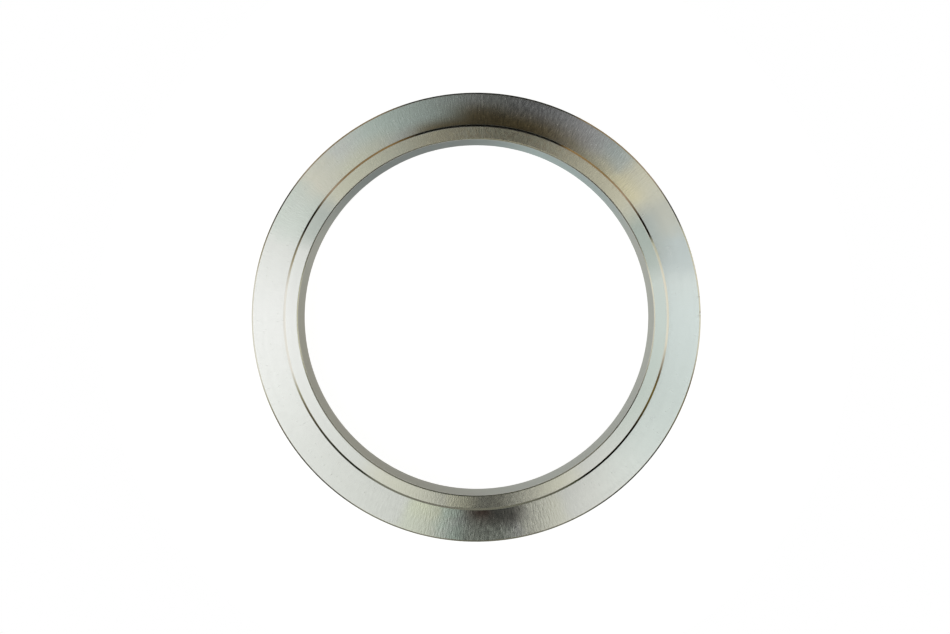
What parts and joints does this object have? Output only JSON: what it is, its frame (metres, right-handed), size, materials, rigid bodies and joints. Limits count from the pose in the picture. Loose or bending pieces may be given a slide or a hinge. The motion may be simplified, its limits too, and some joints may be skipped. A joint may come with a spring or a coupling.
{
  "type": "v-band weld flange",
  "caption": "Round one-piece steel weld flange for a V-band tube joint: raised pilot ring, flat sealing face, tapered clamp rim, plain weld neck and a straight bore.",
  "frame": {"origin": "centre of the weld end's face, on the axis", "axes": "+Z along the axis, from the weld end towards the pilot and the sealing face"},
  "size_m": [0.0928, 0.0928, 0.013],
  "materials": {
    "zinc_plated_steel": "turned all over, satin clear zinc plate"
  },
  "bodies": {
    "root": {"weld_flange": "zinc_plated_steel"}
  },
  "joints": []
}
